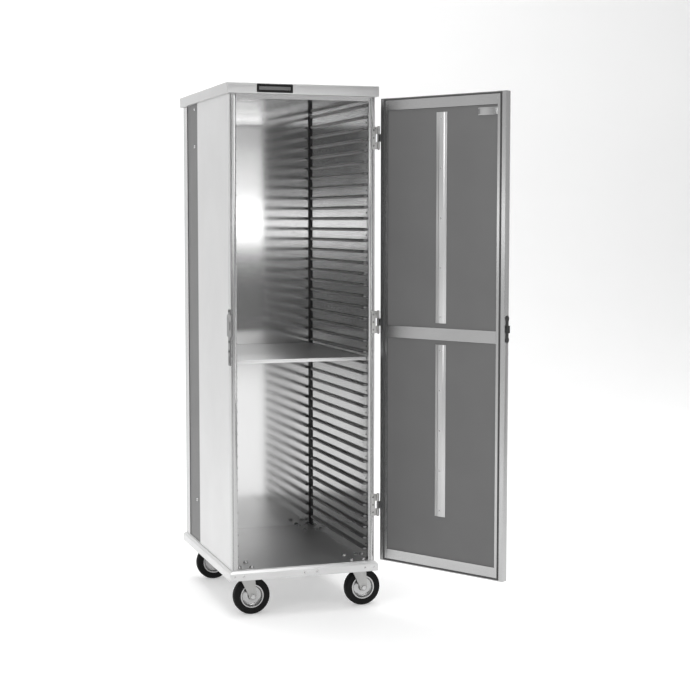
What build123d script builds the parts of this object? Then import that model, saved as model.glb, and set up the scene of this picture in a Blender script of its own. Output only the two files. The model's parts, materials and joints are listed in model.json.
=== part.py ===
from build123d import *
import os

# Insulated mobile pan cabinet: a tall double-walled body with ribbed side liners, a
# removable middle shelf, one insulated door standing open and four swivel casters.
#
# Every sub-part is worked out in the cabinet's own coordinates: X across the front, Y to
# the back, Z up from the floor, with the cabinet's middle at X = Y = 0 and the door
# closed. Door parts are then swung open about the hinge pins, and everything is moved so
# that the origin is the middle of the whole object's footprint, door included.
# Millimetres throughout.

# ---------------------------------------------------------------- driving dimensions
BODY_HALF_WIDTH = 253.0
BODY_HALF_DEPTH = 344.0
OVERHANG = 12.0                 # cap and base stand out past the front by this much
SIDE_OVERHANG = 11.0            # and past the sides by this much
OPENING_HALF_WIDTH = 232.0      # clear width 464, for pans 457 wide

BASE_BOTTOM = 134.0
BASE_TOP = 166.0
FLOOR_TOP = 168.0
CEILING = 1740.0
BODY_TOP = 1756.0
CAP_TOP = 1791.0

SHEET = 1.5                     # outer sheets
LINER = 2.0                     # side and back liners
POST_DEPTH = 25.0
REAR_STEP = 122.0               # where the side sheet steps in
REAR_LEG = 58.0                 # side leg of a rear corner post
STEP_IN = 3.2                   # how far the rear side panel is set in

RIB_PITCH = 38.1
RIB_COUNT = 41
RIB_FIRST = 204.0               # height of the lowest rib's middle
RIB_HALF_HEIGHT = 5.0
RIB_DEPTH = 12.0
RIB_FRONT = -314.0
RIB_BACK = 296.0
SHELF_RIB = 17                  # the pair of ribs that the shelf stands on
SHELF_TOP = 874.0
SHELF_HEM = 12.0                # depth of the shelf's front edge
LINER_RIVET_Y = -316.0          # column of rivets down each side liner's front edge
LINER_RIVET_RADIUS = 2.9

DOOR_OPEN = 121.0               # degrees from closed to the stored position
DOOR_BOTTOM = 173.0
DOOR_TOP = 1749.0
DOOR_FREE_X = -255.0
DOOR_HINGE_X = 253.0
DOOR_INNER_Y = -347.5
DOOR_OUTER_Y = -372.5
STILE = 30.0
RAIL = 41.0
BOTTOM_RAIL = 43.0
MID_RAIL_Z = 965.0

PIN_X = 264.0
PIN_Y = -349.0
PIN_RADIUS = 2.5
KNUCKLE_RADIUS = 4.5
HINGE_HEIGHTS = (363.0, 994.0, 1618.0)
HINGE_HALF = 38.0
KNUCKLE_HALF = 12.8             # half the height of the door's middle knuckle
SCREW_STEP = 26.0               # hinge screws, up and down from the middle one
SCREW_RADIUS = 2.4
LEAF = 2.5                      # thickness of a hinge leaf
RUNNING_GAP = 0.05

LATCH_Z = 992.0
BOLT_Y = -363.0                 # middle of the latch bolt's thickness
PLATE_END = 34.0                # the edge plate's round ends, above and below its middle
CASE_HALF = 30.0                # half the height of the bolt case
CUP_LEFT = -226.0               # the lever's cup in the outer face
CUP_RIGHT = -184.0
CUP_HALF = 36.0
CUP_FLOOR = -357.0
CUP_WALL = 1.5
LEVER_X = -219.0                # the lever's pin
LEVER_Y = -370.0
LEVER_PIN = 1.5

KINGPIN_X = 200.0
KINGPIN_FRONT_Y = -277.0
KINGPIN_BACK_Y = 268.0
TRAIL = 30.0
WHEEL_RADIUS = 63.5
WHEEL_HALF_WIDTH = 16.0
FORK_TOP = 133.3                # clear of the base rails' underside all the way round
PLATE_BOTTOM = 150.0
PLATE_TOP = 156.0
BOLT_DX = 22.0                  # caster bolts, either side of the kingpin
BOLT_DY = 40.0

# Where the cabinet's middle lies in the finished frame
CABINET_X = -144.5
CABINET_Y = 219.3

parts = {}


# ---------------------------------------------------------------- small helpers
def block(x0, x1, y0, y1, z0, z1):
    """A box between two corners."""
    middle = Pos((x0 + x1) / 2, (y0 + y1) / 2, (z0 + z1) / 2)
    return middle * Box(abs(x1 - x0), abs(y1 - y0), abs(z1 - z0))


def post_along_z(points, z0, z1):
    """A prism that stands on a plan outline."""
    return Pos(0, 0, z0) * extrude(make_face(Polyline(*points, close=True)), z1 - z0)


def bar_along_y(points, y0, y1):
    """A prism along Y from an outline of (x, z) points."""
    outline = make_face(Polyline(*[(x, y0, z) for x, z in points], close=True))
    return extrude(outline, y1 - y0, dir=(0, 1, 0))


def bar_along_x(points, x0, x1):
    """A prism along X from an outline of (y, z) points."""
    outline = make_face(Polyline(*[(x0, y, z) for y, z in points], close=True))
    return extrude(outline, x1 - x0, dir=(1, 0, 0))


def rod(x, y, z0, z1, radius):
    """An upright cylinder between two heights."""
    return Pos(x, y, (z0 + z1) / 2) * Cylinder(radius, z1 - z0)


def rod_along_x(x0, x1, y, z, radius):
    return Pos((x0 + x1) / 2, y, z) * Rot(0, 90, 0) * Cylinder(radius, abs(x1 - x0))


def rod_along_y(x, y0, y1, z, radius):
    return Pos(x, (y0 + y1) / 2, z) * Rot(90, 0, 0) * Cylinder(radius, abs(y1 - y0))


def hexagon(across_flats, height):
    return extrude(RegularPolygon(across_flats / 2, 6, major_radius=False), height)


def mirrored(shape):
    """The same part on the right-hand side."""
    return mirror(shape, about=Plane.YZ)


def group(solids):
    return Compound(children=list(solids))


def swing_open(shape):
    """Turn a door part from closed to its stored, open position."""
    return shape.rotate(Axis((PIN_X, PIN_Y, 0), (0, 0, 1)), DOOR_OPEN)


# ---------------------------------------------------------------- base and floor
def base_rails():
    """Four mitred channel rails, open to the inside, with a bevelled outer top edge."""
    side = BODY_HALF_WIDTH + SIDE_OVERHANG - 1.0
    front = BODY_HALF_DEPTH + OVERHANG
    width, wall, bevel = 30.0, 3.0, 8.0

    def profile(outer, sign):
        """Outline of one rail: outer is its outer face, sign points to the inside."""
        inner = outer + sign * width
        web = outer + sign * wall
        return [
            (outer, BASE_BOTTOM),
            (outer, BASE_TOP - bevel),
            (outer + sign * bevel, BASE_TOP),
            (inner, BASE_TOP),
            (inner, BASE_TOP - wall),
            (web + sign * (bevel - 1.2), BASE_TOP - wall),
            (web, BASE_TOP - wall - bevel + 1.2),
            (web, BASE_BOTTOM + wall),
            (inner, BASE_BOTTOM + wall),
            (inner, BASE_BOTTOM),
        ]

    in_side, in_front = side - width, front - width
    mitre_front = [(-side, -front), (side, -front), (in_side, -in_front), (-in_side, -in_front)]
    mitre_left = [(-side, -front), (-in_side, -in_front), (-in_side, in_front), (-side, front)]
    front_rail = bar_along_x(profile(-front, 1), -side, side)
    front_rail = front_rail & post_along_z(mitre_front, BASE_BOTTOM, BASE_TOP)
    for hole_x in (-3.0, 43.0):
        front_rail -= rod_along_y(hole_x, -front - 1, -front + wall + 1, 147.0, 3.5)
    left_rail = bar_along_y(profile(-side, 1), -front, front)
    left_rail = left_rail & post_along_z(mitre_left, BASE_BOTTOM, BASE_TOP)
    plain_rail = bar_along_x(profile(-front, 1), -side, side)
    plain_rail = plain_rail & post_along_z(mitre_front, BASE_BOTTOM, BASE_TOP)
    rear_rail = mirror(plain_rail, about=Plane.XZ)
    return group([front_rail, rear_rail, left_rail, mirrored(left_rail)])


def caster_bolt_places():
    """Middles of the sixteen bolts that hold the casters."""
    for x, y in kingpins().values():
        for dx in (-BOLT_DX, BOLT_DX):
            for dy in (-BOLT_DY, BOLT_DY):
                yield x + dx, y + dy


def kingpins():
    return {
        "front_left": (-KINGPIN_X, KINGPIN_FRONT_Y),
        "front_right": (KINGPIN_X, KINGPIN_FRONT_Y),
        "rear_left": (-KINGPIN_X, KINGPIN_BACK_Y),
        "rear_right": (KINGPIN_X, KINGPIN_BACK_Y),
    }


BOLT_HOLE = 4.5
BAR_HALF = 48.5                 # half the width of a caster mounting bar


def drilled(shape, z0, z1):
    for x, y in caster_bolt_places():
        shape -= rod(x, y, z0 - 1, z1 + 1, BOLT_HOLE)
    return shape


parts["base_rails"] = base_rails()
floor_pan = block(-252, 252, -343.5, 343, BASE_TOP, FLOOR_TOP)
parts["floor_pan"] = drilled(floor_pan, BASE_TOP, FLOOR_TOP)

bars = []
for bar_y in (KINGPIN_FRONT_Y, KINGPIN_BACK_Y):
    bar = block(-232.5, 232.5, bar_y - BAR_HALF, bar_y + BAR_HALF, PLATE_TOP, BASE_TOP)
    bars.append(drilled(bar, PLATE_TOP, BASE_TOP))
parts["caster_mounting_bars"] = group(bars)

under_front = KINGPIN_FRONT_Y + BAR_HALF + 3
under_back = KINGPIN_BACK_Y - BAR_HALF - 3
parts["floor_insulation"] = block(-232, 232, under_front, under_back, 146, BASE_TOP)
parts["underfloor_sheet"] = block(-232, 232, under_front, under_back, 144.5, 146)


def caster_bolt(x, y):
    """Hexagon bolt through floor, bar and caster plate, with its washer and nut."""
    bolt = rod(x, y, 139, 170, 4.0)
    bolt += Pos(x, y, FLOOR_TOP) * Cylinder(8.5, 1.6, align=(Align.CENTER, Align.CENTER, Align.MIN))
    bolt += Pos(x, y, 169.6) * hexagon(13, 4.4)
    bolt += Pos(x, y, 143.5) * hexagon(13, 6.5)
    return bolt


parts["caster_bolts"] = group(caster_bolt(x, y) for x, y in caster_bolt_places())


# ---------------------------------------------------------------- body frame
def left_front_post():
    """Extruded post: a stepped inner lip and a fine groove down the front face."""
    outer, inner = -BODY_HALF_WIDTH, -OPENING_HALF_WIDTH
    front, back = -BODY_HALF_DEPTH, -BODY_HALF_DEPTH + POST_DEPTH
    outline = [
        (outer, back),
        (outer, front + 1.5),
        (outer + 1.5, front),
        (inner - 7, front),
        (inner - 7, front + 3),
        (inner, front + 3),
        (inner, back),
    ]
    post = post_along_z(outline, FLOOR_TOP, BODY_TOP)
    return post - block(outer + 4, outer + 5.5, front - 1, front + 1.5, FLOOR_TOP, BODY_TOP)


def left_rear_post():
    """Angle that closes the rear corner, with a wide leg on the side."""
    outer, back = -BODY_HALF_WIDTH, BODY_HALF_DEPTH
    outline = [
        (outer, back - REAR_LEG),
        (outer, back),
        (outer + 53, back),
        (outer + 53, back - 3),
        (outer + 3, back - 3),
        (outer + 3, back - REAR_LEG),
    ]
    return post_along_z(outline, FLOOR_TOP, BODY_TOP)


post_back = -BODY_HALF_DEPTH + POST_DEPTH
liner_face = BODY_HALF_DEPTH - 21.0
skin_inside = BODY_HALF_WIDTH - SHEET
panel_face = BODY_HALF_WIDTH - STEP_IN
liner_outside = OPENING_HALF_WIDTH + LINER

header = block(-OPENING_HALF_WIDTH, OPENING_HALF_WIDTH, -BODY_HALF_DEPTH, post_back,
               CEILING, BODY_TOP)
parts["header_rail"] = header
rear_post = left_rear_post()
parts["rear_corner_posts"] = group([rear_post, mirrored(rear_post)])

side_skin = block(-BODY_HALF_WIDTH, -skin_inside, post_back, REAR_STEP, FLOOR_TOP, BODY_TOP)
parts["side_skins"] = group([side_skin, mirrored(side_skin)])
rear_panel = block(-panel_face, -panel_face + SHEET, REAR_STEP - 6, 292, FLOOR_TOP, BODY_TOP)
parts["rear_side_panels"] = group([rear_panel, mirrored(rear_panel)])

side_slab = block(-skin_inside, -liner_outside, post_back, REAR_STEP - 6, FLOOR_TOP, BODY_TOP)
side_slab += block(-panel_face + SHEET, -liner_outside, REAR_STEP - 6, 341, FLOOR_TOP, BODY_TOP)
back_slab = block(-liner_outside, liner_outside, 325, 341, FLOOR_TOP, CEILING)
parts["wall_insulation"] = group([side_slab, mirrored(side_slab), back_slab])

side_liner = block(-liner_outside, -OPENING_HALF_WIDTH, post_back, liner_face, FLOOR_TOP, CEILING)
parts["side_liners"] = group([side_liner, mirrored(side_liner)])

parts["back_skin"] = block(-200, 200, 342.5, 344, FLOOR_TOP, BODY_TOP)
parts["back_liner"] = block(-liner_outside, liner_outside, liner_face, 325, FLOOR_TOP, CEILING)


def left_rib(k):
    """One pan ledge: a D-shaped rib with a rounded front end."""
    z = RIB_FIRST + k * RIB_PITCH
    wall = -OPENING_HALF_WIDTH
    flat = RIB_DEPTH - RIB_HALF_HEIGHT
    core = block(wall, wall + flat, RIB_FRONT, RIB_BACK, z - RIB_HALF_HEIGHT, z + RIB_HALF_HEIGHT)
    nose = rod_along_y(wall + flat, RIB_FRONT, RIB_BACK, z, RIB_HALF_HEIGHT)
    bar = core + nose
    keep = block(wall, wall + RIB_DEPTH + 1, RIB_FRONT, RIB_BACK, z - 8, z + 8)
    bar = bar & keep
    sloped = [(wall + 2, RIB_FRONT - 1), (wall + 20, RIB_FRONT - 1), (wall + 20, RIB_FRONT + 16)]
    return bar - post_along_z(sloped, z - 8, z + 8)


left_ribs = [left_rib(k) for k in range(RIB_COUNT)]
parts["left_pan_ribs"] = group(left_ribs)
parts["right_pan_ribs"] = group([mirrored(rib) for rib in left_ribs])

# ---------------------------------------------------------------- roof
parts["ceiling_liner"] = block(-OPENING_HALF_WIDTH, OPENING_HALF_WIDTH, post_back, liner_face,
                               CEILING, CEILING + SHEET)


def top_cap():
    """Folded lid: top sheet, deep lip all round and a narrow return flange."""
    half_x = BODY_HALF_WIDTH + SIDE_OVERHANG
    half_y = BODY_HALF_DEPTH + OVERHANG
    wall = 2.5
    outside = block(-half_x, half_x, -half_y, half_y, BODY_TOP, CAP_TOP)
    outside = fillet(outside.edges().filter_by(Axis.Z), 4.0)
    outside = fillet(outside.edges().group_by(Axis.Z)[-1], 2.5)
    cavity = block(-half_x + wall, half_x - wall, -half_y + wall, half_y - wall,
                   BODY_TOP + wall, CAP_TOP - wall)
    mouth = block(-249, 249, -340, 340, BODY_TOP - 1, BODY_TOP + wall + 1)
    return outside - cavity - mouth


parts["top_cap"] = top_cap()
roof_slab = block(-liner_outside, liner_outside, post_back, 340, CEILING + SHEET, 1760)
roof_slab += block(-261, 261, -353, 353, 1758.5, 1788.5)
roof_slab -= block(-liner_outside, liner_outside, liner_face, 342, CEILING, CEILING + SHEET)
parts["roof_insulation"] = roof_slab

parts["nameplate"] = fillet(
    block(-164, -40, -357.5, -356, 1759.5, 1787.5).edges().filter_by(Axis.Y), 3.0)

# ---------------------------------------------------------------- middle shelf
SHELF_BOTTOM = SHELF_TOP - SHEET
SHELF_FOOT = RIB_FIRST + SHELF_RIB * RIB_PITCH + RIB_HALF_HEIGHT + 0.2


def middle_shelf():
    """Loose sheet with a hem at the front and turned-down sides that stand on two ribs."""
    sheet = block(-230, 230, -322, 316, SHELF_BOTTOM, SHELF_TOP)
    hem = block(-230, 230, -322, -318.5, SHELF_TOP - SHELF_HEM, SHELF_BOTTOM)
    side = block(-230, -230 + SHEET, -312, 296, SHELF_FOOT, SHELF_BOTTOM)
    return sheet + hem + side + mirrored(side)


parts["middle_shelf"] = middle_shelf()


# ---------------------------------------------------------------- hinges
FRAME_SCREW_X = 247.5           # hinge screws in the post
DOOR_SCREW_Y = -363.0           # and in the door's hinge stile
PIN_LINE = 200.0                # longer than any hinge, to bore right through it


def screw_heights(z):
    return (z - SCREW_STEP, z, z + SCREW_STEP)


def frame_leaf(z):
    """Leaf on the post with the two outer knuckles."""
    face = -BODY_HALF_DEPTH
    leaf = block(241, PIN_X, face - LEAF, face, z - HINGE_HALF, z + HINGE_HALF)
    leaf += rod(PIN_X, PIN_Y, z - HINGE_HALF, z + HINGE_HALF, KNUCKLE_RADIUS)
    notch = KNUCKLE_HALF + 0.4
    leaf -= block(255.9, PIN_X + 11, -360, face + 1, z - notch, z + notch)
    leaf -= rod(PIN_X, PIN_Y, z - PIN_LINE, z + PIN_LINE, PIN_RADIUS)
    for height in screw_heights(z):
        leaf -= rod_along_y(FRAME_SCREW_X, face - 6, face + 4, height, SCREW_RADIUS)
    return leaf


def door_leaf(z):
    """Leaf on the door's edge with the middle knuckle."""
    leaf = block(DOOR_HINGE_X, DOOR_HINGE_X + LEAF, -372, -350, z - HINGE_HALF, z + HINGE_HALF)
    arm_outer, arm_inner = -353.4, -351.0
    leaf += block(DOOR_HINGE_X + 2, PIN_X, arm_outer, arm_inner, z - KNUCKLE_HALF,
                  z + KNUCKLE_HALF)
    leaf += rod(PIN_X, PIN_Y, z - KNUCKLE_HALF, z + KNUCKLE_HALF, KNUCKLE_RADIUS)
    leaf -= rod(PIN_X, PIN_Y, z - PIN_LINE, z + PIN_LINE, PIN_RADIUS + RUNNING_GAP)
    for height in screw_heights(z):
        leaf -= rod_along_x(DOOR_HINGE_X - 13, DOOR_HINGE_X + 7, DOOR_SCREW_Y, height,
                            SCREW_RADIUS)
    return leaf


def hinge_pin(z):
    """Pin with a flat head that rests on the top knuckle."""
    head_radius = 4.2
    pin = rod(PIN_X, PIN_Y, z - HINGE_HALF - 2, z + HINGE_HALF, PIN_RADIUS)
    return pin + rod(PIN_X, PIN_Y, z + HINGE_HALF, z + HINGE_HALF + 2, head_radius)


def frame_hinge_screws():
    """Screws through the frame leaves into the right post."""
    outer = -BODY_HALF_DEPTH - LEAF
    return [rod_along_y(FRAME_SCREW_X, outer - 0.5, outer + 16.5, height, SCREW_RADIUS)
            for z in HINGE_HEIGHTS for height in screw_heights(z)]


def door_hinge_screws():
    """Screws through the door leaves into the hinge stile."""
    outer = DOOR_HINGE_X + LEAF
    return [rod_along_x(outer - 19.5, outer + 0.7, DOOR_SCREW_Y, height, SCREW_RADIUS)
            for z in HINGE_HEIGHTS for height in screw_heights(z)]


parts["hinge_frame_leaves"] = group(frame_leaf(z) for z in HINGE_HEIGHTS)
parts["hinge_pins"] = group(hinge_pin(z) for z in HINGE_HEIGHTS)

left_post = left_front_post()
right_post = mirrored(left_post)
for screw in frame_hinge_screws():
    right_post -= screw
parts["left_front_post"] = left_post
parts["right_front_post"] = right_post


# ---------------------------------------------------------------- keeper on the body
KEEPER_PLATE = 3.0
KEEPER_SCREW_Y = -331.0
KEEPER_SCREW_HEIGHTS = (906.0, 938.0, 1040.0)
LUG_HALF = 37.0                 # half the height of the slotted lug


def keeper():
    """Strike on the left front corner: side plate and a slotted lug beside the door."""
    side = -BODY_HALF_WIDTH
    plate = block(side - KEEPER_PLATE, side, -343, -318, 858, 1046)
    plate = fillet(plate.edges().filter_by(Axis.X), 4.0)
    lug_inner, lug_outer = side - 5, side - 8
    lug = block(lug_outer, lug_inner, -380, -322, LATCH_Z - LUG_HALF, LATCH_Z + LUG_HALF)
    lug = fillet(lug.edges().filter_by(Axis.X), 6.0)
    spacer = block(lug_inner, side - KEEPER_PLATE, -340, -324, LATCH_Z - LUG_HALF,
                   LATCH_Z + LUG_HALF)
    bolt_slot = block(lug_outer - 1, lug_inner + 1, BOLT_Y - 6.5, BOLT_Y + 6.5, LATCH_Z - 14,
                      LATCH_Z + 14)
    plate_slot = block(side - KEEPER_PLATE - 1, side + 1, -335, -327, 866, 890)
    return plate + spacer + lug - bolt_slot - plate_slot


def keeper_screws():
    """Flat screw heads on the keeper's side plate."""
    outer = -BODY_HALF_WIDTH - KEEPER_PLATE
    return [rod_along_x(outer - 1.2, outer, KEEPER_SCREW_Y, z, 4.0)
            for z in KEEPER_SCREW_HEIGHTS]


parts["latch_keeper"] = keeper()


def liner_rivets():
    """Flat heads midway between ribs, at every second rib, down both side liners."""
    wall = -OPENING_HALF_WIDTH
    heads = []
    for k in range(0, RIB_COUNT - 1, 2):
        z = RIB_FIRST + (k + 0.5) * RIB_PITCH
        head = rod_along_x(wall, wall + 1.4, LINER_RIVET_Y, z, LINER_RIVET_RADIUS)
        heads += [head, mirrored(head)]
    return heads


def body_rivets():
    """Dome heads on the base front, and screw heads up both rear side panels."""
    heads = []
    front = -BODY_HALF_DEPTH - OVERHANG
    for x in (-247, -216, 216, 247):
        heads.append(rod_along_y(x, front - 1.4, front, 148, 3.2))
    for z in (319, 1605, 1739):
        head = rod_along_x(-panel_face - 1.6, -panel_face, 175, z, 6.0)
        heads += [head, mirrored(head)]
    return heads


parts["body_fasteners"] = group(frame_hinge_screws() + keeper_screws() + body_rivets()
                                + liner_rivets())

# ---------------------------------------------------------------- door, drawn closed
free_inside = DOOR_FREE_X + STILE + 2
hinge_inside = DOOR_HINGE_X - STILE
frame_outside = DOOR_OUTER_Y + SHEET
liner_back = -352.0
liner_front = -351.0
rail_bottom = DOOR_BOTTOM + BOTTOM_RAIL
rail_top = DOOR_TOP - RAIL

# Room for the latch in the stile, the middle rail, the insulation and the skin
SLACK = 0.3
latch_room = block(DOOR_FREE_X - 1, CUP_LEFT + 1, BOLT_Y - 7 - SLACK, BOLT_Y + 6.5 + SLACK,
                   LATCH_Z - CASE_HALF - SLACK, LATCH_Z + CASE_HALF + SLACK)
latch_room += block(CUP_LEFT - SLACK, CUP_RIGHT + SLACK, DOOR_OUTER_Y - 1, CUP_FLOOR + SLACK,
                    LATCH_Z - CUP_HALF - SLACK, LATCH_Z + CUP_HALF + SLACK)

door = {}
door["door_skin"] = block(DOOR_FREE_X, DOOR_HINGE_X, DOOR_OUTER_Y, frame_outside,
                          DOOR_BOTTOM, DOOR_TOP) - latch_room
stile = block(hinge_inside, DOOR_HINGE_X, frame_outside, DOOR_INNER_Y, DOOR_BOTTOM, DOOR_TOP)
for screw in door_hinge_screws():
    stile -= screw
door["door_hinge_stile"] = stile
door["door_latch_stile"] = block(DOOR_FREE_X, free_inside, frame_outside, DOOR_INNER_Y,
                                 DOOR_BOTTOM, DOOR_TOP) - latch_room


def door_rail(z0, z1):
    return block(free_inside, hinge_inside, frame_outside, DOOR_INNER_Y, z0, z1)


mid_bottom = MID_RAIL_Z - RAIL / 2
mid_top = MID_RAIL_Z + RAIL / 2
door["door_top_rail"] = door_rail(rail_top, DOOR_TOP)
door["door_middle_rail"] = door_rail(mid_bottom, mid_top) - latch_room
door["door_bottom_rail"] = door_rail(DOOR_BOTTOM, rail_bottom)

bays = ((rail_bottom, mid_bottom), (mid_top, rail_top))
door["door_core"] = group(
    block(free_inside, hinge_inside, frame_outside, liner_back, z0, z1) - latch_room
    for z0, z1 in bays)
door["door_liner_panels"] = group(
    block(free_inside, hinge_inside, liner_back, liner_front, z0, z1) for z0, z1 in bays)

strips = ((355.0, 930.0), (1001.0, 1693.0))
door["door_stiffeners"] = group(
    block(-22.5, 20.5, liner_front, -348.2, z0, z1) for z0, z1 in strips)


def strip_rivets():
    """Rivets along the two stiffeners, and the ends of the rails."""
    heads = []
    for z0, z1 in strips:
        for k in range(5):
            z = z0 + 20 + k * (z1 - z0 - 40) / 4
            heads.append(rod_along_y(-1, -348.2, -347.2, z, 3.2))
    return heads


door["door_fasteners"] = group(door_hinge_screws() + strip_rivets())
door["card_holder"] = block(free_inside, -147, liner_front, -348.2, 1675, 1700)


def gasket():
    """Flat seal round the door's inner face."""
    outer = block(-239.5, 239.5, DOOR_INNER_Y, -344.3, 176, 1747)
    return outer - block(-233.5, 233.5, -348, -344, 182, 1741)


door["door_gasket"] = gasket()
door["hinge_door_leaves"] = group(door_leaf(z) for z in HINGE_HEIGHTS)


def latch_case():
    """Edge latch: round-ended edge plate, bolt case and the cup that the lever lies in."""
    plate_face = DOOR_FREE_X - 1.5
    plate = block(plate_face, DOOR_FREE_X, BOLT_Y - 7.5, BOLT_Y + 6.5, LATCH_Z - PLATE_END,
                  LATCH_Z + PLATE_END)
    for side in (-1, 1):
        end_z = LATCH_Z + side * PLATE_END
        plate += rod_along_x(plate_face, DOOR_FREE_X, BOLT_Y - 0.5, end_z, 10.0)
    case = block(DOOR_FREE_X, CUP_LEFT, BOLT_Y - 7, BOLT_Y + 6.5, LATCH_Z - CASE_HALF,
                 LATCH_Z + CASE_HALF)
    cup = block(CUP_LEFT, CUP_RIGHT, DOOR_OUTER_Y, CUP_FLOOR, LATCH_Z - CUP_HALF,
                LATCH_Z + CUP_HALF)
    flange_half = CUP_HALF + 6
    flange = block(CUP_LEFT - 6, CUP_RIGHT + 6, DOOR_OUTER_Y - 1.2, DOOR_OUTER_Y,
                   LATCH_Z - flange_half, LATCH_Z + flange_half)
    flange = fillet(flange.edges().filter_by(Axis.Y), 6.0)
    inside_half = CUP_HALF - CUP_WALL
    inside = block(CUP_LEFT + CUP_WALL, CUP_RIGHT - CUP_WALL, DOOR_OUTER_Y - 2,
                   CUP_FLOOR - CUP_WALL, LATCH_Z - inside_half, LATCH_Z + inside_half)
    body = plate + case + cup + flange - inside
    body += rod(LEVER_X, LEVER_Y, LATCH_Z - inside_half - 0.5, LATCH_Z + inside_half + 0.5,
                LEVER_PIN)
    body -= block(plate_face - 1, BOLT_BACK + 7, BOLT_Y - 5.2, BOLT_Y + 5.2, LATCH_Z - 12.4,
                  LATCH_Z + 12.4)
    return body - block(BOLT_BACK, CUP_LEFT + CUP_WALL + 0.5, TAIL_OUTER - 0.4, TAIL_INNER + 0.4,
                        LATCH_Z - 6.4, LATCH_Z + 6.4)


def lever():
    """Flat paddle with a turned finger edge, and the arm that draws the bolt's tail."""
    half = CUP_HALF - CUP_WALL - 1
    free_end = -190.5
    paddle = block(LEVER_X, free_end, LEVER_Y - 1.5, LEVER_Y + 0.5, LATCH_Z - half,
                   LATCH_Z + half)
    paddle += block(free_end - 2, free_end, LEVER_Y, LEVER_Y + 4, LATCH_Z - half, LATCH_Z + half)
    paddle += rod(LEVER_X, LEVER_Y, LATCH_Z - half, LATCH_Z + half, 2.8)
    paddle += block(LEVER_X - 1, LEVER_X + 1, LEVER_Y, TAIL_INNER - 0.4, LATCH_Z - 3.5,
                    LATCH_Z + 3.5)
    return paddle - rod(LEVER_X, LEVER_Y, LATCH_Z - 40, LATCH_Z + 40, LEVER_PIN + RUNNING_GAP)


BOLT_TIP = -263.5
BOLT_BACK = -240.0              # back of the thick part, where the tail starts
TAIL_OUTER = -364.0
TAIL_INNER = -359.6


def latch_bolt():
    """Bevelled bolt that stands 7 mm out of the edge plate, with a thin slotted tail."""
    half = 4.8
    outline = [
        (BOLT_TIP, BOLT_Y - half),
        (BOLT_BACK, BOLT_Y - half),
        (BOLT_BACK, BOLT_Y + half),
        (BOLT_TIP + 7, BOLT_Y + half),
        (BOLT_TIP, BOLT_Y - 1.0),
    ]
    bolt = post_along_z(outline, LATCH_Z - 12, LATCH_Z + 12)
    bolt += block(BOLT_BACK - 1, -212, TAIL_OUTER, TAIL_INNER, LATCH_Z - 6, LATCH_Z + 6)
    return bolt - block(LEVER_X - 4, LEVER_X + 3, TAIL_OUTER - 1, TAIL_INNER + 1, LATCH_Z - 4.5,
                        LATCH_Z + 4.5)


door["latch_case"] = latch_case()
door["latch_lever"] = lever()
door["latch_bolt"] = latch_bolt()

for name, shape in door.items():
    parts[name] = swing_open(shape)


# ---------------------------------------------------------------- casters
def caster_mount(x, y):
    """Top plate, upper race and the kingpin riveted to them."""
    plate = block(x - 32, x + 32, y - 50, y + 50, PLATE_BOTTOM, PLATE_TOP)
    plate = fillet(plate.edges().filter_by(Axis.Z), 6.0)
    for dx in (-BOLT_DX, BOLT_DX):
        for dy in (-BOLT_DY, BOLT_DY):
            plate -= rod(x + dx, y + dy, PLATE_BOTTOM - 1, PLATE_TOP + 1, BOLT_HOLE)
    race = Pos(x, y, 141) * Cylinder(27, 9, align=(Align.CENTER, Align.CENTER, Align.MIN))
    pin = rod(x, y, 126, 151, 6.0)
    head = rod(x, y, 125.3, 128.6, 9.0)
    return plate + race + pin + head


def fork(x, y):
    """Crown with the lower race, and two legs down to the axle behind the kingpin."""
    axle_x = x + TRAIL
    crown = rod(x, y, 129, FORK_TOP, 26)
    crown += block(x - 14, x + 36, y - 23.5, y + 23.5, 129, FORK_TOP)
    crown += rod(x, y, FORK_TOP, 140.7, 24)
    leg = [(x - 16, FORK_TOP), (x + 38, FORK_TOP), (axle_x + 13, 66), (axle_x + 9, 54),
           (axle_x - 9, 54), (axle_x - 13, 66)]
    for near, far in ((-23.5, -20.0), (20.0, 23.5)):
        crown += bar_along_y(leg, y + near, y + far)
    crown -= rod(x, y, 120, 145, 6.0 + RUNNING_GAP)
    return crown - rod_along_y(axle_x, y - 30, y + 30, WHEEL_RADIUS, 5.25)


def axle(x, y):
    """Axle bolt with its head and nut outside the legs."""
    axle_x = x + TRAIL
    bolt = rod_along_y(axle_x, y - 30, y + 30, WHEEL_RADIUS, 5.0)
    head = Pos(axle_x, y - 23.5, WHEEL_RADIUS) * Rot(90, 0, 0) * hexagon(16, 6)
    nut = Pos(axle_x, y + 29.5, WHEEL_RADIUS) * Rot(90, 0, 0) * hexagon(16, 6)
    return bolt + head + nut


def ring_profile(points):
    """Turn an outline of (radius, offset along the axle) round the axle's line."""
    outline = make_face(Polyline(*[(r, 0, w) for r, w in points], close=True))
    return revolve(outline, Axis.Z, 360)


TYRE_INNER = 41.0


def wheel_core(x, y):
    """Metal wheel: raised rim, thin web and a long hub bored for the axle."""
    bore = 5.0 + RUNNING_GAP
    outline = [
        (bore, -19.5), (12, -19.5), (13, -8), (33, -4), (36, -15), (TYRE_INNER, -14),
        (TYRE_INNER, 14), (36, 15), (33, 4), (13, 8), (12, 19.5), (bore, 19.5),
    ]
    core = ring_profile(outline)
    return Pos(x + TRAIL, y, WHEEL_RADIUS) * Rot(90, 0, 0) * core


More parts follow.
